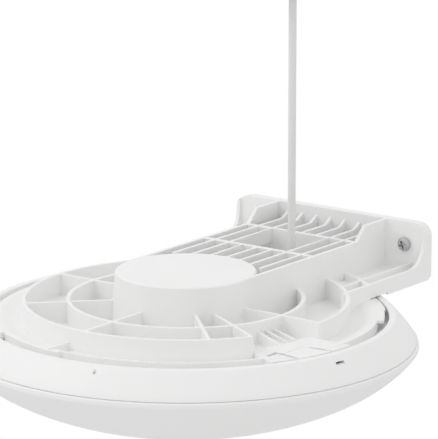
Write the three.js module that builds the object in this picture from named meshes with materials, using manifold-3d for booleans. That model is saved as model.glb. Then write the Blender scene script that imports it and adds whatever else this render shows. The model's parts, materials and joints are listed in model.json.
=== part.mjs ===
// Round wireless access point hung face down under a wall arm, with its data cable dropping from the
// ceiling. Lengths are in millimetres and angles in degrees. The parts are drawn in a local frame with
// its origin on the access point's upright axis, level with the top of the arm: +Z up, +Y to the wall.
import * as THREE from 'three';
import { mergeVertices } from 'three/addons/utils/BufferGeometryUtils.js';
import Module from 'manifold-3d';

// Where the local frame sits in the part's own frame, whose origin is the wall plate's back centre.
const reach = 124; // access point axis to the wall
const armRise = 6.9; // arm top above the middle of the wall plate

// Bracket: ribbed arm, round boss, two ring walls and a base disc.
const wall = 2;
const armHalf = 33.5;
const bossTopR = 33.4;
const bossFootR = 35.4;
const innerRingR = 56.5;
const outerRingR = 77.5;
const ringTop = -13.1;
const floorTop = -23.3;
const floorUnder = -25.6;
const grooveR = 88.4; // disc edge where the groove beside the rim is wide
const notchR = 90.9; // disc edge beside the lugs
const lobeR = 94.6; // disc edge where it reaches out to the rim
const lipTop = -20.6;
const ribThickness = 1.7;
const ribPitch = 8.6;
const frontCross = [56.2, 59];
const backCross = [92, 95];
const shelfHalf = 57;
const shelfFloor = [-18.7, -16.7];
const sweepR = 11.6; // curve that carries the shelf's edge up to the plate
const sweepEnd = 117.6;
const overRim = -20; // bracket underside where it passes over the access point's rim
const plate = {
  top: 7.2,
  bottom: -21.1,
  thickness: 5,
  corner: 6.5,
  nip: 1.5,
  screwX: 44.5,
  screwZ: -4.2,
  boreR: 2.4,
};

// Twist lock: three lugs inside the rim slide under the bracket's lobes.
const lugStarts = [0, 120, -120];
const lugSpan = 27;
const lugTop = -22.5;
const lugUnder = -24;
const lugR = 91.6;
const flangeSpan = 11.4; // arc of each lobe that carries a lug when locked
const flangeTop = -24.3;
const hoodUnder = -22.2;

// Release latch: a finger in the disc, between two slots. Outlines are [x, y] points seen from above.
const latch = {
  top: -20.8,
  thickness: 1.9,
  tipR: 94.9,
  finger: [[79, -31], [92, -33.4], [98, -33], [98, -14.6], [82, -16.3], [79, -16.3]],
  pocket: [[76, -32.8], [92, -35.3], [98, -35], [98, -13.1], [82, -14.8], [82, -16], [78.7, -16],
    [78.7, -31], [76, -31]],
  slotEndX: [74.2, 76.4],
  slotEndY: [-38.6, -31],
};

// Access point: back housing, seam and dome.
const rimInnerR = 95.8;
const rimOuterR = 99.6;
const rimTop = -20.9;
const recessFloor = -26.2;
const shell = 2.1;
const seamR = 108.9;
const seamZ = -33.1;
const seamGap = 0.5;
const widestR = 110;
const widestZ = -35.6;
const edgeR = 104.2;
const edgeZ = -42.4;
const domeBottom = -74.8;
const postR = 86; // circle of the four case screws
const resetAngle = -76.5; // pinhole over the reset button
const resetR = 101.3;
const resetHoleR = 0.8;
const roundSides = 48;
const bracketSides = 48;

// Cable, plug and ceiling fitting.
const cable = { x: 7.6, y: 75, r: 1.9, sides: 8 };
const jackMouth = -27.2;
const plugOut = 9.4; // length of plug above the jack's mouth
const bootTop = -6.5;
const ceiling = 131;
const splitHeight = 16; // where the drop meets the stretch that turns with the access point

// Main board and what stands on it.
const boardTop = -35.4;
const boardThickness = 1.6;
const boardR = 103;

const wasm = await Module();
wasm.setup();
const rad = THREE.MathUtils.degToRad;
const polar = (r, angle) => [r * Math.cos(rad(angle)), r * Math.sin(rad(angle))];

// ---- shapes ----

// A three.js geometry as a solid for joining and cutting.
function solid(geometry) {
  const bare = geometry.clone();
  bare.deleteAttribute('normal');
  bare.deleteAttribute('uv');
  const merged = mergeVertices(bare, 1e-4);
  const index = merged.index.array;
  const triangles = [];
  for (let i = 0; i < index.length; i += 3) {
    const [a, b, c] = [index[i], index[i + 1], index[i + 2]];
    if (a !== b && b !== c && c !== a) triangles.push(a, b, c);
  }
  return new wasm.Manifold(
    new wasm.Mesh({
      numProp: 3,
      vertProperties: Float32Array.from(merged.attributes.position.array),
      triVerts: Uint32Array.from(triangles),
    })
  );
}

function geometryOf(body) {
  const mesh = body.getMesh();
  const geometry = new THREE.BufferGeometry();
  geometry.setAttribute('position', new THREE.BufferAttribute(mesh.vertProperties, 3));
  geometry.setIndex(new THREE.BufferAttribute(mesh.triVerts, 1));
  const flat = geometry.toNonIndexed();
  flat.computeVertexNormals();
  return flat;
}

const joined = (bodies) => bodies.reduce((sum, body) => sum.add(body));
const cut = (body, tools) => tools.reduce((rest, tool) => rest.subtract(tool), body);

function block([x0, x1], [y0, y1], [z0, z1]) {
  const box = new THREE.BoxGeometry(x1 - x0, y1 - y0, z1 - z0);
  return solid(box.translate((x0 + x1) / 2, (y0 + y1) / 2, (z0 + z1) / 2));
}

// A profile of [radius, height] points turned about the upright axis. A profile that doesn't start
// and end on the axis is closed on itself.
function turned(profile, sides = roundSides) {
  const points = profile.map(([r, z]) => new THREE.Vector2(r, z));
  if (THREE.ShapeUtils.area(points) < 0) points.reverse();
  const onAxis = points.every((p) => p.x > 0) === false;
  if (onAxis) {
    while (points[0].x > 0 || points.at(-1).x > 0) points.push(points.shift());
  } else {
    points.push(points[0].clone());
  }
  return solid(new THREE.LatheGeometry(points, sides).rotateX(Math.PI / 2));
}

const tube = (r0, r1, z0, z1, sides) => turned([[r0, z0], [r1, z0], [r1, z1], [r0, z1]], sides);
const disc = (r, z0, z1, sides) => turned([[0, z0], [r, z0], [r, z1], [0, z1]], sides);

// An upright or lying round bar from one point to another.
function bar(from, to, r, sides = 12, rEnd = r) {
  const start = new THREE.Vector3(...from);
  const end = new THREE.Vector3(...to);
  const length = start.distanceTo(end);
  const turn = new THREE.Quaternion();
  turn.setFromUnitVectors(new THREE.Vector3(0, 1, 0), end.clone().sub(start).normalize());
  const rod = new THREE.CylinderGeometry(rEnd, r, length, sides).applyQuaternion(turn);
  const middle = start.add(end).multiplyScalar(0.5);
  return solid(rod.translate(middle.x, middle.y, middle.z));
}

function extruded(points, depth, place) {
  const shape = new THREE.Shape(points.map(([x, y]) => new THREE.Vector2(x, y)));
  const body = new THREE.ExtrudeGeometry(shape, { depth, bevelEnabled: false, curveSegments: 6 });
  return solid(place ? body.applyMatrix4(place) : body);
}

const alongX = new THREE.Matrix4().set(0, 0, 1, 0, 1, 0, 0, 0, 0, 1, 0, 0, 0, 0, 0, 1);
const alongY = new THREE.Matrix4().set(1, 0, 0, 0, 0, 0, -1, 0, 0, 1, 0, 0, 0, 0, 0, 1);

// A [y, z] outline between two X values, an [x, z] outline between two Y values, and an [x, y]
// outline between two heights.
const slabX = (points, [x0, x1]) => moved(extruded(points, x1 - x0, alongX), x0, 0, 0);
const slabY = (points, [y0, y1]) => moved(extruded(points, y1 - y0, alongY), 0, y1, 0);
const slabZ = (points, [z0, z1]) => moved(extruded(points, z1 - z0), 0, 0, z0);

function moved(body, x, y, z) {
  return solid(geometryOf(body).translate(x, y, z));
}

function spun(body, degrees) {
  return solid(geometryOf(body).rotateZ(rad(degrees)));
}

function arc([x, y], r, from, to, steps) {
  const points = [];
  for (let i = 0; i <= steps; i += 1) {
    const angle = rad(from + ((to - from) * i) / steps);
    points.push([x + r * Math.cos(angle), y + r * Math.sin(angle)]);
  }
  return points;
}

// A piece of a ring between two radii and two angles.
function sector([r0, r1], [a0, a1], heights) {
  const steps = Math.max(1, Math.ceil((a1 - a0) / 5));
  const outer = arc([0, 0], r1, a0, a1, steps);
  const inner = arc([0, 0], r0, a1, a0, steps);
  return slabZ([...outer, ...inner], heights);
}

// ---- bracket ----

function radialRib(angle, r0, r1) {
  const rib = block([r0, r1], [-ribThickness / 2, ribThickness / 2], [floorTop - 1, ringTop]);
  return spun(rib, angle);
}

function baseDisc() {
  const edge = [[grooveR, floorUnder], [grooveR, lipTop], [grooveR - 1.5, lipTop], [83.5, -22.6]];
  const dish = turned([[31.4, floorUnder], ...edge, [79.5, floorTop], [31.4, floorTop]], bracketSides);
  const inside = grooveR - 1.2;
  const notched = sector([inside, notchR], [-29.4, 267.3], [floorUnder, lipTop]);
  const hoods = [
    sector([inside, lobeR - 0.9], [27.5, 40], [hoodUnder, lipTop]),
    sector([inside, lobeR], [40, 57], [hoodUnder, lipTop]),
    sector([inside, lobeR], [147.5, 177], [hoodUnder, lipTop]),
  ];
  const flanges = lugStarts.map((start) =>
    sector([inside, lobeR], [start, start + flangeSpan], [floorUnder, flangeTop])
  );
  const latchRamp = [[64, floorTop], [71.5, latch.top], [96, latch.top], [96, -30], [64, -30]];
  const latchPlate = turned(latchRamp, bracketSides).intersect(
    sector([60, lobeR], [-29.4, -0.5], [floorUnder, 0])
  );
  const backLobe = sector([inside, lobeR], [210.6, 239.5], [floorUnder, lipTop]);
  return joined([dish, notched, ...hoods, ...flanges, latchPlate, backLobe]);
}

function rings() {
  const inner = tube(innerRingR - wall, innerRingR, floorTop - 1, ringTop, bracketSides);
  const outer = tube(outerRingR - wall, outerRingR, floorTop - 1, ringTop, bracketSides);
  const latchGap = sector([70, 82], [-29.8, -0.4], [-30, 0]);
  const insideArm = block([-armHalf + 1, armHalf - 1], [0, 90], [-30, 0]);
  const ribs = [0, -30, -45, -90, -135, 180].map((angle) =>
    radialRib(angle, 34, outerRingR - 0.5)
  );
  const gusset = spun(
    slabY([[77, -19.7], [90.4, -20.1], [90.4, -24], [77, -24]], [-0.8, 0.8]),
    -97
  );
  const latchRibs = [[-16.5, 75], [-12, 71.5], [-7, 70]].map(([angle, end]) =>
    spun(slabY([[55.5, -17.8], [end, latch.top + 0.1], [end, -24], [55.5, -24]], [-0.8, 0.8]), angle)
  );
  const walls = [cut(inner, [insideArm]), cut(outer, [insideArm, latchGap])];
  return joined([...walls, ...ribs, gusset, ...latchRibs]);
}

function boss() {
  const skin = [[0, -2.4], [31, -2.4], [33.2, floorUnder], [bossFootR, floorUnder]];
  return turned([...skin, [bossTopR, -0.7], [bossTopR - 0.7, 0], [0, 0]], bracketSides);
}

// The opening the plug and cable pass through, between two of the arm's ribs and its cross ribs.
function cableWindow() {
  const half = 2 * ribPitch - ribThickness / 2;
  return block([-half, half], [frontCross[1], backCross[0]], [-40, 10]);
}

function arm() {
  const top = plate.top - 0.4;
  const under = [[0, floorUnder], [93, floorUnder], [93, plate.bottom], [reach - 2, plate.bottom]];
  const side = [...under, [reach - 2, top], [101, top], [94, 0], [0, 0]];
  const parts = [
    slabX(side, [armHalf - wall, armHalf]),
    slabX(side, [-armHalf, -armHalf + wall]),
    block([-armHalf + 1, armHalf - 1], [20, 93], [floorUnder, floorTop]),
    block([-armHalf + 1, armHalf - 1], [91.5, reach - 2], [overRim, overRim + wall]),
    block([-armHalf + 1, armHalf - 1], frontCross, [floorTop - 1, 0]),
    block([-armHalf + 1, armHalf - 1], backCross, [overRim, 0]),
  ];
  for (let i = -3; i <= 3; i += 1) {
    const across = [i * ribPitch - ribThickness / 2, i * ribPitch + ribThickness / 2];
    const besideWindow = Math.abs(i) >= 2;
    parts.push(block(across, [24, besideWindow ? 93 : frontCross[0] + 1], [floorTop - 1, 0]));
    parts.push(block(across, [backCross[1] - 1, reach - 2], [overRim, 0]));
    parts.push(slabX([[112, -1], [reach - 4, 3.4], [reach - 4, -1]], across));
  }
  const cutters = [
    cableWindow(),
    block([-2 * ribPitch - 2, 2 * ribPitch + 2], [82.5, 91.5], [-16, -6.8]),
  ];
  const behindBoss = disc(33, -40, -2.4, bracketSides);
  return cut(joined(parts), [...cutters, behindBoss]);
}

function shelf(side) {
  const sweep = arc([sweepEnd - sweepR, ringTop + sweepR], sweepR, -90, 0, 6);
  const edge = [[49, floorUnder], [80, floorUnder], [80, plate.bottom], [reach - 2, plate.bottom]];
  const top = [[reach - 2, plate.top], [sweepEnd, plate.top]];
  const lip = slabX([...edge, ...top, ...sweep.reverse(), [49, ringTop]], [
    shelfHalf - wall,
    shelfHalf,
  ]).intersect(slabY(plateOutline(plate.bottom - 10), [40, reach]));
  const span = [armHalf - 1, shelfHalf - 1];
  const inRing = disc(outerRingR - 1, -40, 10, bracketSides);
  const tray = cut(block(span, [45, reach - 2], shelfFloor), [inRing]);
  const rib = cut(block([47.2, 48.8], [50, reach - 2], [shelfFloor[0], ringTop]), [inRing]);
  const bow = tube(89.2, 90.8, shelfFloor[0], ringTop, bracketSides).intersect(
    block(span, [50, 90], [-30, 0])
  );
  const footing = block([shelfHalf - wall, shelfHalf], [49, 72], [floorUnder, ringTop]);
  const body = joined([lip, tray, rib, bow, footing]);
  if (side > 0) return body;
  const mirrored = geometryOf(body).scale(-1, 1, 1);
  return turnedInsideOut(mirrored);
}

// A mirrored geometry with its triangles turned to face outwards again.
function turnedInsideOut(geometry) {
  const p = geometry.attributes.position;
  for (let i = 0; i < p.count; i += 3) {
    const [x, y, z] = [p.getX(i + 1), p.getY(i + 1), p.getZ(i + 1)];
    p.setXYZ(i + 1, p.getX(i + 2), p.getY(i + 2), p.getZ(i + 2));
    p.setXYZ(i + 2, x, y, z);
  }
  return solid(geometry);
}

// The wall plate's outline seen from the front, down to a given height.
function plateOutline(bottom) {
  const { top, corner, nip } = plate;
  const x = shelfHalf;
  return [
    [-x, bottom + nip],
    [-x + nip, bottom],
    [x - nip, bottom],
    [x, bottom + nip],
    ...arc([x - corner, top - corner], corner, 0, 90, 6),
    ...arc([-x + corner, top - corner], corner, 90, 180, 6),
  ];
}

function wallPlate() {
  const { bottom, thickness, screwX, screwZ, boreR } = plate;
  const holes = [-screwX, screwX].map((at) =>
    bar([at, reach - thickness - 1, screwZ], [at, reach + 1, screwZ], boreR, 16)
  );
  return cut(slabY(plateOutline(bottom), [reach - thickness, reach]), holes);
}

function bracketBody() {
  const overRimRing = tube(notchR + 0.05, 103, -40, overRim, bracketSides);
  const upper = cut(joined([arm(), shelf(1), shelf(-1)]), [overRimRing]);
  const latchRoom = slabZ(latch.pocket, [-30, 0]);
  const slotEnd = block(latch.slotEndX, latch.slotEndY, [-30, 0]);
  const lower = cut(joined([baseDisc(), rings(), boss()]), [latchRoom, slotEnd, cableWindow()]);
  return joined([upper, lower, wallPlate()]);
}

function releaseLatch() {
  const { top, thickness, tipR, finger } = latch;
  const strip = slabZ(finger, [top - thickness, top]);
  const catchBar = block([91.6, 98], [-27, -19], [-24.4, top - 1]);
  return joined([strip, catchBar]).intersect(disc(tipR, -40, 0, 144));
}

// ---- access point shells ----

function housing() {
  const profile = [
    [0, recessFloor],
    [rimInnerR - 1.2, recessFloor],
    [rimInnerR, recessFloor + 1.2],
    [rimInnerR, rimTop - 0.4],
    [rimInnerR + 0.4, rimTop],
    [rimOuterR - 0.8, rimTop],
    [rimOuterR, rimTop - 0.4],
    [106.4, -29.2],
    [108.3, -31.8],
    [seamR, seamZ],
    [seamR - shell, seamZ],
    [105.9, -31.2],
    [rimOuterR - 1.2, rimTop - shell],
    [rimInnerR + shell, rimTop - shell],
    [rimInnerR + shell, recessFloor - 1.4],
    [rimInnerR + 1.2, recessFloor - shell],
    [0, recessFloor - shell],
  ];
  const lugs = lugStarts.map((start) => {
    const lug = sector([lugR, rimInnerR + 0.8], [start + 0.3, start + lugSpan], [lugUnder, lugTop]);
    const slot = sector([93.3, 94.3], [start + 14.6, start + 17.6], [lugUnder - 1, lugTop + 1]);
    return cut(lug, [slot]);
  });
  const posts = screwPosts.map(([x, y]) =>
    bar([x, y, recessFloor - 1], [x, y, seamZ - 0.6], 3.6, 12)
  );
  const well = block(
    [cable.x - 7.4, cable.x + 7.4],
    [cable.y - 5.8, cable.y + 7],
    [recessFloor - 4, recessFloor + 1]
  );
  const pinhole = bar([...resetAt, -30], [...resetAt, -18], resetHoleR, 10);
  const catchSlot = spun(block([98, 104.5], [-2.6, 2.6], [-25, -23.8]), -10);
  const screwHoles = screwPosts.map(([x, y]) =>
    bar([x, y, recessFloor + 1], [x, y, seamZ - 2], 1.7, 10)
  );
  const heads = screwPosts.map(([x, y]) =>
    bar([x, y, recessFloor + 1], [x, y, recessFloor - 1.3], 3.1, 12)
  );
  const body = joined([turned(profile), ...lugs, ...posts]);
  return cut(body, [well, pinhole, catchSlot, ...screwHoles, ...heads]);
}

const screwPosts = [45, 135, 225, 315].map((angle) => polar(postR, angle));
const resetAt = polar(resetR, resetAngle);

// The spherical part of the dome, offset inwards by a wall thickness.
function domeCap(inset, steps) {
  const rise = edgeZ - domeBottom;
  const radius = (edgeR * edgeR + rise * rise) / (2 * rise);
  const start = Math.asin((edgeR - inset) / radius);
  const centre = domeBottom + radius;
  const points = [];
  for (let i = 0; i <= steps; i += 1) {
    const angle = start * (1 - i / steps);
    points.push([(radius - inset) * Math.sin(angle), centre - (radius - inset) * Math.cos(angle)]);
  }
  return points;
}

function dome() {
  const top = seamZ - seamGap;
  const outer = [[108.7, top], [109.5, top - 0.5], [widestR, widestZ], [109.4, -38.1], [107.4, -40.6]];
  const inner = [[106.5, top], [107.2, widestZ], [106.6, -37.6], [105, -39.2]];
  const skin = [...outer, ...domeCap(0, 9), ...domeCap(2.3, 7).reverse(), ...inner.reverse()];
  skin[skin.length - inner.length - 1][0] = 102.2;
  const body = turned(skin);
  const posts = screwPosts.map(([x, y]) => bar([x, y, seamZ - 1.2], [x, y, -51.4], 3.4, 12));
  const bores = screwPosts.map(([x, y]) => bar([x, y, seamZ], [x, y, -49], 1.3, 10));
  const lightHole = disc(3.3, -90, -60, 16);
  return cut(joined([body, ...posts]), [...bores, lightHole]);
}

// ---- pieces inside the access point ----

function mainBoard() {
  const under = boardTop - boardThickness;
  const board = disc(boardR, under, boardTop, 48);
  const jackRoom = block([cable.x - 9.2, cable.x + 9.2], [cable.y - 9.2, cable.y + 9.2], [-60, 0]);
  const postRoom = screwPosts.map(([x, y]) => bar([x, y, -60], [x, y, 0], 4.6, 12));
  const screws = boardScrews.map(([x, y]) => bar([x, y, -60], [x, y, 0], 1.7, 10));
  return cut(board, [jackRoom, ...postRoom, ...screws, disc(3.6, -60, 0, 12)]);
}

const boardScrews = [[-52, 52], [52, 46], [52, -52], [-52, -52]];

function heatSpreader() {
  const sheet = disc(62, -31.2, -29.6, 36);
  const legs = boardScrews.map(([x, y]) => {
    const pad = bar([x, y, -31.2], [x, y, -29.6], 5, 12);
    const leg = bar([x, y, -30], [x, y, boardTop + 0.3], 2.8, 10);
    return pad.add(leg);
  });
  const arms = [45, 135, 225, 315].map((a) => spun(block([55, 72], [-4, 4], [-31.2, -29.6]), a));
  const holes = boardScrews.map(([x, y]) => bar([x, y, -60], [x, y, 0], 1.2, 10));
  return cut(joined([sheet, ...legs, ...arms]), holes);
}

function jack() {
  const { x, y } = cable;
  const body = block([x - 8.2, x + 8.2], [y - 7.6, y + 7.6], [-43.5, recessFloor - 2.6]);
  const mouth = block([x - 6.2, x + 6.2], [y - 4.4, y + 4.4], [-40.6, -20]);
  const latchRoom = block([x - 3.4, x + 3.4], [y + 3, y + 6.2], [-40.6, -20]);
  return cut(body, [mouth, latchRoom]);
}

function plugBody() {
  const { x, y } = cable;
  const bottom = jackMouth - 12.4;
  const top = jackMouth + plugOut;
  const body = block([x - 5.85, x + 5.85], [y - 4.1, y + 2.7], [bottom, top]);
  const contacts = [];
  for (let i = -3.5; i <= 3.5; i += 1) {
    const across = [x + i * 1.02 - 0.25, x + i * 1.02 + 0.25];
    contacts.push(block(across, [y - 5, y - 3.5], [bottom + 0.8, bottom + 7]));
  }
  const cableHole = bar([x, y, top - 7], [x, y, top + 1], cable.r + 0.35, 12);
  return cut(body, [...contacts, cableHole]);
}

function plugLever() {
  const { x, y } = cable;
  const foot = jackMouth - 11.6;
  const tip = jackMouth + plugOut - 2;
  const outline = [
    [y + 3, foot],
    [y + 3.8, foot],
    [y + 5.4, jackMouth - 2],
    [y + 6.3, tip],
    [y + 5.3, tip],
    [y + 4.4, jackMouth - 2],
    [y + 3, foot + 1],
  ];
  return slabX(outline, [x - 2.6, x + 2.6]);
}

function boot() {
  const { x, y } = cable;
  const bottom = jackMouth + plugOut + 0.3;
  const base = block([x - 5.4, x + 5.4], [y - 3.9, y + 2.9], [bottom, bottom + 3]);
  const taper = bar([x, y, bottom + 2], [x, y, bootTop], 3.5, 12, 2.6);
  const bore = bar([x, y, bottom - 1], [x, y, bootTop + 1], cable.r + 0.35, 12);
  return cut(base.add(taper), [bore]);
}

function antenna(angle) {
  const foot = block([70, 80], [-9, 9], [boardTop - boardThickness - 1.1, boardTop - boardThickness - 0.3]);
  const fin = block([70, 70.8], [-14, 14], [-51, boardTop - boardThickness - 0.3]);
  const slot = block([60, 90], [-9, 6], [-46.5, -44.5]);
  return spun(cut(foot.add(fin), [slot]), angle);
}

function shieldCan([x0, x1], [y0, y1]) {
  const lid = boardTop + 3;
  const can = block([x0, x1], [y0, y1], [boardTop + 0.3, lid]);
  const inside = block([x0 + 0.4, x1 - 0.4], [y0 + 0.4, y1 - 0.4], [boardTop - 1, lid - 0.4]);
  return cut(can, [inside]);
}

// A cross-head screw standing along +Z, its head's underside at height 0.
function crossScrew(headR, headHeight, shankR, length) {
  const profile = [
    [0, -length],
    [shankR * 0.35, -length],
    [shankR, -length + 2.2],
    [shankR, 0],
    [headR, 0],
    [headR, headHeight * 0.45],
    [headR * 0.66, headHeight],
    [0, headHeight],
  ];
  const arms = [0, 90].map((a) =>
    spun(block([-headR * 0.55, headR * 0.55], [-0.45, 0.45], [headHeight * 0.3, headHeight + 1]), a)
  );
  return cut(turned(profile, 12), arms);
}

// ---- assembly ----

const part = new THREE.Group();
const local = new THREE.Group();
local.position.set(0, -reach, armRise);
part.add(local);

const finishes = {
  whitePlastic: { color: 0xeeeeec, roughness: 0.5, metalness: 0 },
  domePlastic: { color: 0xececea, roughness: 0.42, metalness: 0 },
  steel: { color: 0xb9bbbd, roughness: 0.35, metalness: 0.9 },
  greyPlastic: { color: 0x9a9c9e, roughness: 0.6, metalness: 0 },
  board: { color: 0x1f5b3a, roughness: 0.5, metalness: 0 },
  aluminium: { color: 0xc4c7ca, roughness: 0.4, metalness: 0.9 },
  tin: { color: 0xcfd1d2, roughness: 0.3, metalness: 0.9 },
  black: { color: 0x1c1d1f, roughness: 0.55, metalness: 0 },
  copper: { color: 0xc98d52, roughness: 0.35, metalness: 0.9 },
  clear: { color: 0xe8eef2, roughness: 0.15, metalness: 0 },
  rubber: { color: 0xdedede, roughness: 0.75, metalness: 0 },
  cableSheath: { color: 0xe9e9e8, roughness: 0.55, metalness: 0 },
  thermalPad: { color: 0x7f93a8, roughness: 0.8, metalness: 0 },
};

function add(name, body, finish, place) {
  const mesh = new THREE.Mesh(geometryOf(body), new THREE.MeshStandardMaterial(finishes[finish]));
  mesh.name = name;
  if (place) place(mesh);
  local.add(mesh);
  return mesh;
}

add('arm_bracket', bracketBody(), 'whitePlastic');
add('release_latch', releaseLatch(), 'whitePlastic');

[-1, 1].forEach((side) => {
  const label = side < 0 ? 'left' : 'right';
  const x = side * plate.screwX;
  add(`wall_screw_${label}`, crossScrew(3.5, 2.4, 1.9, 17), 'steel', (mesh) => {
    mesh.rotation.set(Math.PI / 2, 0, side * 0.35);
    mesh.position.set(x, reach - plate.thickness - 0.3, plate.screwZ);
  });
});

add('back_housing', housing(), 'whitePlastic');
add('dome_cover', dome(), 'domePlastic');
add('seam_gasket', tube(104.2, 105.2, seamZ - 1.6, seamZ + 0.9, 48), 'rubber');
add('main_board', mainBoard(), 'board');
add('heat_spreader', heatSpreader(), 'aluminium');

const cans = [
  { name: 'shield_can_radio_a', x: [-44, -20], y: [8, 34] },
  { name: 'shield_can_radio_b', x: [14, 40], y: [8, 34] },
  { name: 'shield_can_processor', x: [-16, 12], y: [-40, -12] },
];
cans.forEach(({ name, x, y }) => {
  add(name, shieldCan(x, y), 'tin');
  const pad = block([x[0] + 4, x[1] - 4], [y[0] + 4, y[1] - 4], [boardTop + 3.3, -31.5]);
  add(name.replace('shield_can', 'thermal_pad'), pad, 'thermalPad');
  const chip = block([x[0] + 6, x[1] - 6], [y[0] + 7, y[1] - 7], [boardTop + 0.3, boardTop + 1.6]);
  add(name.replace('shield_can', 'chip'), chip, 'black');
});

[10, 170, 250, 290].forEach((angle, i) => {
  add(`antenna_${i + 1}`, antenna(angle), 'copper');
});

add('ethernet_jack', jack(), 'tin');
add('plug_body', plugBody(), 'clear');
add('plug_lever', plugLever(), 'clear');
add('plug_boot', boot(), 'rubber');

const magnetics = block(
  [cable.x - 30, cable.x - 14],
  [cable.y - 8, cable.y + 4],
  [boardTop + 0.3, boardTop + 5.6]
);
add('line_transformer', magnetics, 'black');
add('power_inductor', block([22, 34], [58, 70], [boardTop + 0.3, boardTop + 5.4]), 'black');
[[-42, 62], [-54, 40]].forEach(([x, y], i) => {
  add(`capacitor_${i + 1}`, bar([x, y, boardTop + 0.3], [x, y, boardTop + 4.9], 3.2, 14), 'aluminium');
});

screwPosts.forEach(([x, y], i) => {
  add(`case_screw_${i + 1}`, crossScrew(2.7, 1.6, 1.2, 18), 'steel', (mesh) => {
    mesh.position.set(x, y, recessFloor - 1.3 + 0.3);
    mesh.rotation.z = 0.3 + i;
  });
});
boardScrews.forEach(([x, y], i) => {
  add(`board_screw_${i + 1}`, crossScrew(2.6, 1.4, 1, 3.6), 'steel', (mesh) => {
    mesh.rotation.x = Math.PI;
    mesh.position.set(x, y, boardTop - boardThickness - 0.3);
  });
});

const resetStem = bar([...resetAt, -30.6], [...resetAt, -27.9], 1, 10);
const resetFoot = bar([...resetAt, -32.2], [...resetAt, -30.4], 1.8, 10);
add('reset_button', resetStem.add(resetFoot), 'greyPlastic');

const switchAt = polar(resetR - 0.7, resetAngle);
const resetSwitch = bar([...switchAt, boardTop + 0.3], [...switchAt, -33], 2.2, 8);
add('reset_switch', resetSwitch, 'black');

const lightPipe = joined([
  disc(3, -74.7, boardTop - boardThickness - 1.2, 16),
  disc(5, -71.5, -70.2, 16),
]);
add('status_light_pipe', lightPipe, 'clear');

const ceilingCover = turned(
  [[4.6, ceiling - 6], [22, ceiling - 6], [27, ceiling - 3], [28, ceiling], [4.6, ceiling]],
  36
);
add('ceiling_cover', moved(ceilingCover, cable.x, cable.y, 0), 'whitePlastic');
const glandFoot = ceiling - 10;
const gland = turned(
  [[2.2, glandFoot], [5.4, glandFoot], [6.4, glandFoot + 1.2], [6.4, ceiling - 6.3], [4.3, ceiling - 6.3],
    [4.3, ceiling], [2.2, ceiling]],
  18
);
add('ceiling_gland', moved(gland, cable.x, cable.y, 0), 'rubber');

// The cable is one straight length: its upper stretch belongs to the building side, its lower stretch
// turns with the access point.
function cableRun(points) {
  const path = new THREE.CatmullRomCurve3(points.map(([x, y, z]) => new THREE.Vector3(x, y, z)));
  const section = new THREE.Shape(
    arc([0, 0], cable.r, 0, 360 - 360 / cable.sides, cable.sides - 1).map(
      ([x, y]) => new THREE.Vector2(x, y)
    )
  );
  return solid(new THREE.ExtrudeGeometry(section, { steps: 14, bevelEnabled: false, extrudePath: path }));
}
const cableTop = ceiling - 2;
const cableFoot = jackMouth + plugOut - 6.4;
const upperRoute = [
  [cable.x, cable.y, cableTop],
  [cable.x, cable.y, 90],
  [cable.x, cable.y, 55],
  [cable.x, cable.y, splitHeight + 0.15],
];
const lowerRoute = [
  [cable.x, cable.y, splitHeight - 0.15],
  [cable.x, cable.y, 5],
  [cable.x, cable.y, bootTop],
  [cable.x, cable.y, cableFoot],
];
add('cable_drop', cableRun(upperRoute), 'cableSheath');
add('cable_tail', cableRun(lowerRoute), 'cableSheath');

export default part;
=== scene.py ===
import bpy
import json
from math import cos, radians, sin, sqrt
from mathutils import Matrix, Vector


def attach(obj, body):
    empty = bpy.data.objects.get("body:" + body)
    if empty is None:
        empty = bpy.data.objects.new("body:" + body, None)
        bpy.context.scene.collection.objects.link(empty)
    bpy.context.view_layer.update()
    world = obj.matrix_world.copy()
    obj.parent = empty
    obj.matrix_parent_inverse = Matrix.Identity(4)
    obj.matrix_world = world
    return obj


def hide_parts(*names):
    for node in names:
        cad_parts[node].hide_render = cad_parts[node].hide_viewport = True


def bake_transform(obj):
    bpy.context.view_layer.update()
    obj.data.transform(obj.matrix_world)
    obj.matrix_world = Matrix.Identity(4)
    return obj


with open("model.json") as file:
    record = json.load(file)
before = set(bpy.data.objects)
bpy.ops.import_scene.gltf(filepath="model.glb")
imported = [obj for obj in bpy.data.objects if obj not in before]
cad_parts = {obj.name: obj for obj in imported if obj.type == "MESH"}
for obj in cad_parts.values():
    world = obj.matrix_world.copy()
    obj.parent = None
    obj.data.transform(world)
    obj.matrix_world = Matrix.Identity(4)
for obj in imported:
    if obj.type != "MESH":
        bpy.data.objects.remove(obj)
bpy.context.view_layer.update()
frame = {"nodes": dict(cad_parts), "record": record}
nodes = frame["nodes"]
bpy.ops.object.select_all(action="DESELECT")
print("frame loaded:", len(nodes), "nodes")

mm = 0.001
roundSteps = 192  # steps in a turned piece as wide as the access point
axisY = -0.124  # the access point's upright axis stands at x 0 and this y
armTop = 0.0069  # height of the arm's top face


# camera

view = {"place": (0.9282, -1.3460, 0.3936), "pitch": 13.286, "turn": 36.637, "lens": 275.96,
        "sensor": 36, "near": 0.05}

bpy.ops.object.camera_add(location=view["place"])
camera = bpy.context.object
camera.rotation_euler = (radians(90 - view["pitch"]), 0, radians(view["turn"]))
camera.data.lens = view["lens"]
camera.data.sensor_width = view["sensor"]
camera.data.clip_start = view["near"]
bpy.context.scene.camera = camera
print("camera placed")


# node helpers

def newMaterial(name):
    material = bpy.data.materials.new(name)
    material.use_nodes = True
    tree = material.node_tree
    shader = tree.nodes["Principled BSDF"]
    return material, tree, shader


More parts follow.
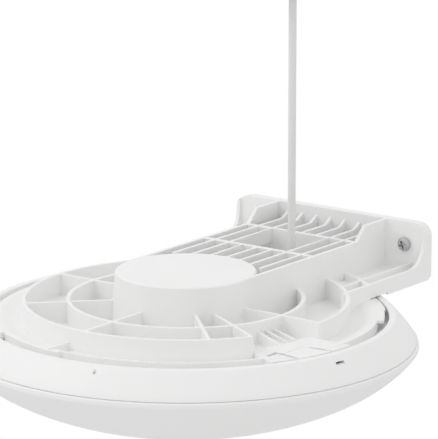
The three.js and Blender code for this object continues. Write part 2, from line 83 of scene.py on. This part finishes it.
def objectCoords(tree, stretch=(1, 1, 1), turn=(0, 0, 0)):
    coords = tree.nodes.new("ShaderNodeTexCoord")
    mapping = tree.nodes.new("ShaderNodeMapping")
    mapping.inputs["Scale"].default_value = stretch
    mapping.inputs["Rotation"].default_value = turn
    tree.links.new(coords.outputs["Object"], mapping.inputs["Vector"])
    return mapping.outputs["Vector"]


def noise(tree, vector, scale, detail=3.0, rough=0.5):
    texture = tree.nodes.new("ShaderNodeTexNoise")
    texture.inputs["Scale"].default_value = scale
    texture.inputs["Detail"].default_value = detail
    texture.inputs["Roughness"].default_value = rough
    tree.links.new(vector, texture.inputs["Vector"])
    return texture.outputs["Fac"]


def remap(tree, value, low, high, fromLow=0.3, fromHigh=0.7):
    node = tree.nodes.new("ShaderNodeMapRange")
    node.inputs["From Min"].default_value = fromLow
    node.inputs["From Max"].default_value = fromHigh
    node.inputs["To Min"].default_value = low
    node.inputs["To Max"].default_value = high
    tree.links.new(value, node.inputs["Value"])
    return node.outputs["Result"]


def blendColours(tree, factor, first, second):
    node = tree.nodes.new("ShaderNodeMix")
    node.data_type = "RGBA"
    tree.links.new(factor, node.inputs["Factor"])
    for socket, colour in ((node.inputs[6], first), (node.inputs[7], second)):
        if isinstance(colour, bpy.types.NodeSocket):
            tree.links.new(colour, socket)
        else:
            socket.default_value = (*colour, 1)
    return node.outputs[2]


def addBumps(tree, shader, layers):
    last = None
    for height, distance, strength in layers:
        bump = tree.nodes.new("ShaderNodeBump")
        bump.inputs["Distance"].default_value = distance
        bump.inputs["Strength"].default_value = strength
        tree.links.new(height, bump.inputs["Height"])
        if last is not None:
            tree.links.new(last, bump.inputs["Normal"])
        last = bump.outputs["Normal"]
    tree.links.new(last, shader.inputs["Normal"])


# materials

def mouldedPlastic(name, look):
    # a spark-textured grain over slow swells of tone and gloss
    material, tree, shader = newMaterial(name)
    vector = objectCoords(tree)
    swell = noise(tree, vector, look["swell"], 4.0, 0.55)
    grain = noise(tree, vector, look["grain"], 2.0, 0.6)
    flow = noise(tree, objectCoords(tree, (1, 1, 0.25)), look["flow"], 2.0, 0.4)
    tone = blendColours(tree, remap(tree, swell, 0, 1), look["colour"], look["shade"])
    speck = remap(tree, grain, 0, 0.35, 0.55, 0.8)
    colour = blendColours(tree, speck, tone, look["fleck"])
    tree.links.new(colour, shader.inputs["Base Color"])
    tree.links.new(remap(tree, grain, *look["roughness"]), shader.inputs["Roughness"])
    shader.inputs["Specular IOR Level"].default_value = look["specular"]
    if "scatter" in look:
        shader.inputs["Subsurface Weight"].default_value = look["scatter"]
        shader.inputs["Subsurface Radius"].default_value = (1, 0.95, 0.9)
        shader.inputs["Subsurface Scale"].default_value = 0.0008
    addBumps(tree, shader, [(grain, look["grainDepth"], 0.6), (flow, look["flowDepth"], 0.3)])
    return material


def workedMetal(name, look):
    # drawn lines along one axis, with a faint stain
    material, tree, shader = newMaterial(name)
    lines = noise(tree, objectCoords(tree, look["stretch"]), look["lines"], 3.0, 0.6)
    stain = noise(tree, objectCoords(tree), look["stain"], 4.0, 0.6)
    colour = blendColours(tree, remap(tree, stain, 0, 1), look["colour"], look["shade"])
    tree.links.new(colour, shader.inputs["Base Color"])
    tree.links.new(remap(tree, lines, *look["roughness"]), shader.inputs["Roughness"])
    shader.inputs["Metallic"].default_value = 1.0
    addBumps(tree, shader, [(lines, look["depth"], 0.5)])
    return material


def circuitBoard(name, look):
    # solder mask with raised tracks and bright pads
    material, tree, shader = newMaterial(name)
    vector = objectCoords(tree)
    tracks = tree.nodes.new("ShaderNodeTexBrick")
    tracks.inputs["Scale"].default_value = look["trackScale"]
    tracks.inputs["Mortar Size"].default_value = 0.05
    tracks.inputs["Mortar Smooth"].default_value = 0.1
    tree.links.new(vector, tracks.inputs["Vector"])
    pads = tree.nodes.new("ShaderNodeTexVoronoi")
    pads.inputs["Scale"].default_value = look["padScale"]
    tree.links.new(vector, pads.inputs["Vector"])
    padMask = remap(tree, pads.outputs["Distance"], 1, 0, 0.16, 0.2)
    mask = blendColours(tree, tracks.outputs["Fac"], look["mask"], look["track"])
    tree.links.new(blendColours(tree, padMask, mask, look["pad"]), shader.inputs["Base Color"])
    grain = noise(tree, vector, look["grain"])
    tree.links.new(remap(tree, grain, 0.3, 0.45), shader.inputs["Roughness"])
    addBumps(tree, shader, [(tracks.outputs["Fac"], 0.00004, 0.5), (grain, 0.00001, 0.4)])
    return material


def clearPlastic(name, look):
    material, tree, shader = newMaterial(name)
    vector = objectCoords(tree)
    haze = noise(tree, vector, look["haze"], 3.0, 0.5)
    colour = blendColours(tree, remap(tree, haze, 0, 1), look["colour"], look["shade"])
    tree.links.new(colour, shader.inputs["Base Color"])
    tree.links.new(remap(tree, haze, *look["roughness"]), shader.inputs["Roughness"])
    shader.inputs["Transmission Weight"].default_value = look["clear"]
    shader.inputs["IOR"].default_value = 1.58
    addBumps(tree, shader, [(haze, 0.00001, 0.3)])
    return material


def cableJacket(name, look):
    # extruded vinyl: fine lines along its run and a slow wander of tone
    material, tree, shader = newMaterial(name)
    lines = noise(tree, objectCoords(tree, (1, 1, 0.02)), look["lines"], 2.0, 0.5)
    tone = noise(tree, objectCoords(tree), look["tone"], 3.0, 0.5)
    colour = blendColours(tree, remap(tree, tone, 0, 1), look["colour"], look["shade"])
    tree.links.new(colour, shader.inputs["Base Color"])
    tree.links.new(remap(tree, lines, 0.42, 0.58), shader.inputs["Roughness"])
    addBumps(tree, shader, [(lines, 0.00003, 0.5)])
    return material


satinWhite = {
    "colour": (0.935, 0.935, 0.93), "shade": (0.92, 0.92, 0.915), "fleck": (0.945, 0.945, 0.942),
    "swell": 22, "grain": 2600, "flow": 160, "roughness": (0.46, 0.6), "specular": 0.42,
    "grainDepth": 0.00003, "flowDepth": 0.00008, "scatter": 0.12,
}
materials = {
    "bracket": mouldedPlastic("bracketPlastic", satinWhite),
    "housing": mouldedPlastic("housingPlastic", {
        **satinWhite, "grain": 3400, "grainDepth": 0.00002, "roughness": (0.4, 0.52)}),
    "dome": mouldedPlastic("domePlastic", {
        **satinWhite, "colour": (0.925, 0.925, 0.92), "shade": (0.91, 0.91, 0.905),
        "fleck": (0.935, 0.935, 0.932),
        "grain": 4200, "grainDepth": 0.000015, "roughness": (0.36, 0.46)}),
    "rubber": mouldedPlastic("softRubber", {
        **satinWhite, "colour": (0.74, 0.74, 0.735), "shade": (0.68, 0.68, 0.675),
        "fleck": (0.78, 0.78, 0.775), "roughness": (0.62, 0.8), "specular": 0.25}),
    "blackPlastic": mouldedPlastic("blackPlastic", {
        **satinWhite, "colour": (0.022, 0.022, 0.024), "shade": (0.03, 0.03, 0.032),
        "fleck": (0.06, 0.06, 0.062), "scatter": 0}),
    "greyPlastic": mouldedPlastic("greyPlastic", {
        **satinWhite, "colour": (0.36, 0.37, 0.38), "shade": (0.31, 0.32, 0.33),
        "fleck": (0.42, 0.42, 0.43), "scatter": 0}),
    "thermalPad": mouldedPlastic("thermalPad", {
        **satinWhite, "colour": (0.2, 0.3, 0.42), "shade": (0.16, 0.25, 0.36),
        "fleck": (0.3, 0.38, 0.48), "roughness": (0.7, 0.85), "scatter": 0}),
    "screwSteel": workedMetal("screwSteel", {
        "colour": (0.6, 0.6, 0.605), "shade": (0.5, 0.5, 0.505), "stretch": (1, 1, 1),
        "lines": 900, "stain": 260, "roughness": (0.3, 0.5), "depth": 0.00002}),
    "aluminium": workedMetal("spreaderAluminium", {
        "colour": (0.74, 0.75, 0.76), "shade": (0.66, 0.67, 0.68), "stretch": (0.05, 1, 1),
        "lines": 2200, "stain": 40, "roughness": (0.28, 0.48), "depth": 0.00001}),
    "tin": workedMetal("shieldTin", {
        "colour": (0.7, 0.7, 0.71), "shade": (0.6, 0.6, 0.61), "stretch": (1, 0.06, 1),
        "lines": 1800, "stain": 90, "roughness": (0.24, 0.42), "depth": 0.00001}),
    "antennaMetal": workedMetal("antennaBrass", {
        "colour": (0.66, 0.47, 0.26), "shade": (0.56, 0.38, 0.2), "stretch": (1, 1, 0.06),
        "lines": 1600, "stain": 120, "roughness": (0.26, 0.44), "depth": 0.00001}),
    "board": circuitBoard("circuitBoard", {
        "mask": (0.03, 0.16, 0.08), "track": (0.05, 0.24, 0.12), "pad": (0.7, 0.6, 0.36),
        "trackScale": 320, "padScale": 240, "grain": 1800}),
    "clear": clearPlastic("clearPlastic", {
        "colour": (0.88, 0.9, 0.91), "shade": (0.8, 0.83, 0.85), "haze": 180,
        "roughness": (0.1, 0.2), "clear": 0.75}),
    "jacket": cableJacket("cableJacket", {
        "colour": (0.84, 0.84, 0.835), "shade": (0.8, 0.8, 0.795), "lines": 2600, "tone": 60}),
}
print("materials made:", len(materials))


# modelling helpers

def finishPiece(piece, material, body, slotName, *stoodFor):
    piece.data.materials.clear()
    piece.data.materials.append(materials[material])
    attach(piece, body)
    if stoodFor:
        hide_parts(*stoodFor)
    bpy.ops.object.select_all(action="DESELECT")
    return piece


def pick(piece):
    bpy.ops.object.select_all(action="DESELECT")
    piece.select_set(True)
    bpy.context.view_layer.objects.active = piece


def settle(piece):
    # puts the piece's place into its mesh
    pick(piece)
    bpy.ops.object.transform_apply(location=True, rotation=True, scale=True)


def rounded(piece, width, segments=3, angle=32, smooth=30, faceWeight=50):
    # rolls every hard edge over, as a mould leaves it
    pick(piece)
    modifier = piece.modifiers.new("edges", "BEVEL")
    modifier.width = width
    modifier.segments = segments
    modifier.limit_method = "ANGLE"
    modifier.angle_limit = radians(angle)
    modifier.use_clamp_overlap = False
    bpy.ops.object.modifier_apply(modifier=modifier.name)
    bpy.ops.object.shade_smooth_by_angle(angle=radians(smooth))
    # flat faces keep their own direction right up to the rolled edges
    modifier = piece.modifiers.new("shading", "WEIGHTED_NORMAL")
    modifier.mode = "FACE_AREA"
    modifier.weight = faceWeight
    modifier.keep_sharp = True
    bpy.ops.object.modifier_apply(modifier=modifier.name)


# how close points must be to be one, and how level faces must be to be one face, in degrees
merging = {"closer": 0.00002, "leveller": 1}


def refined(name, node, width, segments):
    # a merged copy of a frame node with its flat faces joined and its edges rolled over
    piece = nodes[node].copy()
    piece.data = nodes[node].data.copy()
    for key in list(piece.keys()):
        del piece[key]
    piece.parent = None
    piece.name = name
    bpy.context.scene.collection.objects.link(piece)
    pick(piece)
    bpy.ops.object.mode_set(mode="EDIT")
    bpy.ops.mesh.select_all(action="SELECT")
    bpy.ops.mesh.remove_doubles(threshold=merging["closer"])
    bpy.ops.mesh.dissolve_limited(angle_limit=radians(merging["leveller"]))
    bpy.ops.mesh.quads_convert_to_tris(quad_method="BEAUTY", ngon_method="BEAUTY")
    bpy.ops.object.mode_set(mode="OBJECT")
    rounded(piece, width, segments)
    return piece


def spunPiece(name, outline, steps, start=0, sweep=360, centre=(0, axisY)):
    # an outline of (radius, height) points turned about the upright axis, closed on itself
    mesh = bpy.data.meshes.new(name)
    turned = [(centre[0] + r * cos(radians(start)), centre[1] + r * sin(radians(start)), z)
              for r, z in outline]
    whole = sweep == 360
    edges = [(i, (i + 1) % len(turned)) for i in range(len(turned))]
    if whole and outline[0][0] == 0:
        edges.pop()
    mesh.from_pydata(turned, edges, [] if whole else [tuple(range(len(turned)))])
    piece = bpy.data.objects.new(name, mesh)
    bpy.context.scene.collection.objects.link(piece)
    pick(piece)
    bpy.ops.object.mode_set(mode="EDIT")
    bpy.ops.mesh.select_all(action="SELECT")
    bpy.ops.mesh.spin(steps=steps, angle=radians(sweep), center=(*centre, 0), axis=(0, 0, 1))
    bpy.ops.mesh.select_all(action="SELECT")
    bpy.ops.mesh.remove_doubles(threshold=0.000002)
    bpy.ops.mesh.normals_make_consistent(inside=False)
    bpy.ops.object.mode_set(mode="OBJECT")
    return piece


def combine(piece, tool, operation):
    # joins or cuts a tool piece and removes it
    pick(piece)
    modifier = piece.modifiers.new("shape", "BOOLEAN")
    modifier.operation = operation
    modifier.solver = "EXACT"
    modifier.object = tool
    bpy.ops.object.modifier_apply(modifier=modifier.name)
    bpy.data.objects.remove(tool)


def peg(place, radius, depth, sides=32):
    bpy.ops.mesh.primitive_cylinder_add(vertices=sides, radius=radius, depth=depth,
                                        location=place)
    return bpy.context.object


def brick(place, size, turn=0):
    bpy.ops.mesh.primitive_cube_add(size=1, location=place, rotation=(0, 0, turn))
    cube = bpy.context.object
    cube.scale = size
    settle(cube)
    return cube


def around(radius, degrees, z):
    # a point beside the access point's upright axis
    return (radius * cos(radians(degrees)), axisY + radius * sin(radians(degrees)), z)


def offHeights(points):
    # radii in mm, and heights in mm from the arm's top face, as points in the frame
    return [(r * mm, armTop + z * mm) for r, z in points]


# data cable: straight down from the ceiling fitting, through the arm's window, into the plug

cable = {"x": 0.0076, "y": -0.049, "radius": 0.0019, "foot": -0.0173, "top": 0.1359, "steps": 40,
         "sides": 20, "turnsBelow": 0.004, "heldAbove": 0.118, "exit": 0.0004}
cableRoute = [
    (cable["x"], cable["y"], cable["foot"] + (cable["top"] - cable["foot"]) * i / cable["steps"])
    for i in range(cable["steps"] + 1)
]


def makeCable():
    bpy.ops.mesh.primitive_circle_add(vertices=cable["sides"], radius=cable["radius"],
                                      fill_type="NGON", location=cableRoute[0])
    piece = bpy.context.object
    piece.name = "dataCable"
    settle(piece)
    bpy.ops.object.mode_set(mode="EDIT")
    bpy.ops.mesh.select_all(action="SELECT")
    rise = (cable["top"] - cable["foot"]) / cable["steps"]
    for _ in range(cable["steps"]):
        bpy.ops.mesh.extrude_region_move(TRANSFORM_OT_translate={"value": (0, 0, rise)})
    bpy.ops.mesh.select_all(action="SELECT")
    bpy.ops.mesh.normals_make_consistent(inside=False)
    bpy.ops.object.mode_set(mode="OBJECT")
    bpy.ops.object.shade_smooth_by_angle(angle=radians(40))
    return piece


dataCable = makeCable()


# ceiling fitting

ceilingCover = {
    "outline": [(4.6, 125), (4.6, 130.8), (27.6, 130.8), (28, 130.4), (27.6, 128.6), (25.6, 126.2),
                (22, 125)],
    "edge": 0.0005,
    "steps": 96,
}
ceilingGland = {
    "outline": [(2.2, 121.2), (2.2, 131), (4.3, 131), (4.3, 124.6), (6.4, 124.6), (6.4, 122.4),
                (5.4, 121.2)],
    "edge": 0.0004,
    "steps": 48,
}


def makeCeilingFitting():
    centre = (cable["x"], cable["y"])
    cover = spunPiece("ceilingCover", offHeights(ceilingCover["outline"]),
                      ceilingCover["steps"], centre=centre)
    rounded(cover, ceilingCover["edge"])
    finishPiece(cover, "housing", "bracket", "cover_plastic", "ceiling_cover")
    gland = spunPiece("ceilingGland", offHeights(ceilingGland["outline"]),
                      ceilingGland["steps"], centre=centre)
    rounded(gland, ceilingGland["edge"])
    finishPiece(gland, "rubber", "bracket", "soft_rubber", "ceiling_gland")
    return [cover, gland]


# bracket, latch, screws and plug, from the frame's own shapes

# how wide each one's rolled edges are, and in how many steps they turn
edges = {"bracket": (0.00017, 3), "latch": (0.0002, 3), "wallScrew": (0.0001, 2),
         "plug": (0.00012, 2), "lever": (0.00015, 2), "boot": (0.00012, 2)}


def makeBracket():
    bracket = refined("wallArmBracket", "arm_bracket", *edges["bracket"])
    finishPiece(bracket, "bracket", "bracket", "bracket_plastic", "arm_bracket")
    latch = refined("releaseLatch", "release_latch", *edges["latch"])
    finishPiece(latch, "bracket", "release_latch", "bracket_plastic", "release_latch")
    for side in ("left", "right"):
        screw = refined("wallScrew" + side.capitalize(), "wall_screw_" + side,
                        *edges["wallScrew"])
        finishPiece(screw, "screwSteel", "bracket", "screw_steel", "wall_screw_" + side)


def makePlug():
    plug = refined("plugBody", "plug_body", *edges["plug"])
    finishPiece(plug, "clear", "access_point", "clear_plastic", "plug_body")
    lever = refined("plugLever", "plug_lever", *edges["lever"])
    finishPiece(lever, "clear", "plug_lever", "clear_plastic", "plug_lever")
    boot = refined("plugBoot", "plug_boot", *edges["boot"])
    finishPiece(boot, "rubber", "access_point", "soft_rubber", "plug_boot")
    return [plug, lever, boot]


# back housing of the access point

housing = {
    "outline": [
        (0, -26.2), (94.6, -26.2), (95.8, -25), (95.8, -21.3), (96.2, -20.9), (98.8, -20.9),
        (99.6, -21.3), (103, -25.15), (106.4, -29.2), (107.7, -30.9), (108.5, -32.2), (108.9, -33.1),
        (106.8, -33.1), (105.9, -31.2), (98.4, -23), (97.9, -23), (97.9, -27.6), (97, -28.3),
        (0, -28.3),
    ],
    "edge": 0.0002,
    # three lugs inside the rim, each with a slot at a radius, an angle from its start and a size
    "lugStarts": (0, 120, -120), "lugSpan": 27, "lugInset": 0.3, "lugSteps": 24,
    "lugIn": 91.6, "lugOut": 96.6, "lugTop": -22.5, "lugUnder": -24,
    "lugSlot": (0.0938, 16.1, (0.001, 0.005, 0.006)),
    # radius, angle and height where each opening is, then its own radius and depth, or size
    "pinhole": (0.1013, -76.5, -0.015, 0.0008, 0.02),
    "catchSlot": (0.1012, -10, -0.0244, (0.0065, 0.0052, 0.0012)),
    # the well that the plug stands in: its middle and its size
    "well": ((0.0076, -0.0484, -0.0205), (0.0148, 0.0128, 0.012)),
    # wells for the case screws' heads: radius and height, then their own radius and depth
    "screwCorners": (45, 135, 225, 315), "screwWell": (0.086, -0.0262, 0.0031, 0.0026),
}


def makeHousing():
    shellPiece = spunPiece("backHousing", offHeights(housing["outline"]), roundSteps)
    rounded(shellPiece, housing["edge"])
    lugOutline = offHeights([
        (housing["lugIn"], housing["lugUnder"]), (housing["lugOut"], housing["lugUnder"]),
        (housing["lugOut"], housing["lugTop"]), (housing["lugIn"], housing["lugTop"])])
    slotRadius, slotAngle, slotSize = housing["lugSlot"]
    for first in housing["lugStarts"]:
        lug = spunPiece("lug", lugOutline, housing["lugSteps"], first + housing["lugInset"],
                        housing["lugSpan"] - housing["lugInset"])
        middle = first + slotAngle
        cutter = brick(around(slotRadius, middle, armTop + housing["lugTop"] * mm), slotSize,
                       radians(middle))
        combine(lug, cutter, "DIFFERENCE")
        combine(shellPiece, lug, "UNION")
    radius, degrees, height, hole, depth = housing["pinhole"]
    combine(shellPiece, peg(around(radius, degrees, height), hole, depth), "DIFFERENCE")
    radius, degrees, height, size = housing["catchSlot"]
    cutter = brick(around(radius, degrees, armTop + height), size, radians(degrees))
    combine(shellPiece, cutter, "DIFFERENCE")
    place, size = housing["well"]
    combine(shellPiece, brick(place, size), "DIFFERENCE")
    radius, height, hole, depth = housing["screwWell"]
    for corner in housing["screwCorners"]:
        combine(shellPiece, peg(around(radius, corner, armTop + height), hole, depth),
                "DIFFERENCE")
    pick(shellPiece)
    bpy.ops.object.shade_smooth_by_angle(angle=radians(30))
    return finishPiece(shellPiece, "housing", "access_point", "housing_plastic", "back_housing")


# dome cover

# the light hole's height, radius and depth; the rolled edges' width, steps and least angle
domeShape = {"rimRadius": 109.9, "bottom": -74.8, "bowl": 32, "turnUp": 7, "power": 11,
             "wall": 2.3, "innerRadius": 104, "steps": 48,
             "roll": [(108.4, -33.3), (109.3, -33.4), (109.8, -33.9), (110, -34.7)],
             "lining": [(105.6, -37.6), (106.5, -36), (106.5, -33.15), (108.2, -33.15),
                        (108.2, -33.3)],
             "lightHole": (-0.075, 0.0033, 0.012), "edge": (0.0002, 2, 40)}


def domeArc(inset, steps):
    # a shallow bowl that turns up towards the rim, moved inwards by a wall's thickness
    power = domeShape["power"]
    points = []
    for i in range(steps + 1):
        share = 1 - i / steps
        height = domeShape["bowl"] * share ** 2 + domeShape["turnUp"] * share ** power
        rise = 2 * domeShape["bowl"] * share + power * domeShape["turnUp"] * share ** (power - 1)
        slope = rise / domeShape["rimRadius"]
        reach = inset / sqrt(1 + slope * slope)
        points.append((domeShape["rimRadius"] * share - reach * slope,
                       domeShape["bottom"] + height + reach))
    return points


def makeDome():
    # from the middle of the underside out to the rim, over it, and back along the inside
    outer = domeArc(0, domeShape["steps"])
    inner = [point for point in domeArc(domeShape["wall"], domeShape["steps"])[::-1]
             if point[0] < domeShape["innerRadius"]]
    outline = [*outer[::-1], *domeShape["roll"][::-1], *domeShape["lining"][::-1], *inner[::-1]]
    dome = spunPiece("domeCover", offHeights(outline), roundSteps)
    height, radius, depth = domeShape["lightHole"]
    combine(dome, peg((0, axisY, armTop + height), radius, depth), "DIFFERENCE")
    rounded(dome, *domeShape["edge"])
    return finishPiece(dome, "dome", "access_point", "dome_plastic", "dome_cover")


fittings = makeCeilingFitting()
print("ceiling fitting made")
makeBracket()
print("bracket made")
plugPieces = makePlug()
print("plug made")
makeHousing()
print("housing made")
makeDome()
print("dome made")

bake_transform(dataCable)
dataCable.data.materials.append(materials["jacket"])
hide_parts("cable_drop", "cable_tail")


# frame nodes that keep their shape

keptFinishes = {
    "circuit_board": "board", "spreader_aluminium": "aluminium", "shield_tin": "tin",
    "black_plastic": "blackPlastic", "antenna_metal": "antennaMetal", "clear_plastic": "clear",
    "soft_rubber": "rubber", "thermal_pad": "thermalPad", "grey_plastic": "greyPlastic",
    "screw_steel": "screwSteel",
}
for row in frame["record"]["subparts"]:
    if row["material_slot"] in keptFinishes:
        node = nodes[row["node"]]
        node.data.materials.clear()
        node.data.materials.append(materials[keptFinishes[row["material_slot"]]])
print("inner parts finished")


# floor and light

studio = {"floorSize": 30, "floorHeight": -0.42, "floor": (0.83, 0.83, 0.83, 1), "dull": 0.9,
          "sheen": 0.1, "sky": 0.85, "aim": (0, -0.12, 0)}
lamps = {
    "keyLight": {"place": (-1.1, -1.0, 1.3), "size": 1.0, "power": 4.6},
    "topLight": {"place": (0.1, -0.4, 1.6), "size": 1.4, "power": 0.4},
}


def addLight(name, place, size, power):
    bpy.ops.object.light_add(type="AREA", location=place)
    lamp = bpy.context.object
    lamp.name = name
    lamp.data.shape = "DISK"
    lamp.data.size = size
    lamp.data.energy = power
    aim = Vector(studio["aim"]) - Vector(place)
    lamp.rotation_euler = aim.to_track_quat("-Z", "Y").to_euler()


def makeFloor():
    bpy.ops.mesh.primitive_plane_add(size=studio["floorSize"],
                                     location=(0, 0, studio["floorHeight"]))
    floor = bpy.context.object
    floor.name = "studioFloor"
    material, tree, shader = newMaterial("paleFloor")
    shader.inputs["Base Color"].default_value = studio["floor"]
    shader.inputs["Roughness"].default_value = studio["dull"]
    shader.inputs["Specular IOR Level"].default_value = studio["sheen"]
    # where it is seen the floor is plain white, and it throws back a little less light than that
    glow = tree.nodes.new("ShaderNodeEmission")
    mix = tree.nodes.new("ShaderNodeMixShader")
    rays = tree.nodes.new("ShaderNodeLightPath")
    tree.links.new(rays.outputs["Is Camera Ray"], mix.inputs["Fac"])
    tree.links.new(shader.outputs["BSDF"], mix.inputs[1])
    tree.links.new(glow.outputs["Emission"], mix.inputs[2])
    tree.links.new(mix.outputs["Shader"], tree.nodes["Material Output"].inputs["Surface"])
    floor.data.materials.append(material)


def makeStudio():
    makeFloor()
    world = bpy.data.worlds.new("studio")
    world.use_nodes = True
    sky = world.node_tree.nodes["Background"]
    sky.inputs["Color"].default_value = (1, 1, 1, 1)
    sky.inputs["Strength"].default_value = studio["sky"]
    bpy.context.scene.world = world
    for name, lamp in lamps.items():
        addLight(name, **lamp)
    bpy.context.scene.view_settings.view_transform = "Standard"


makeStudio()
print("studio lit")
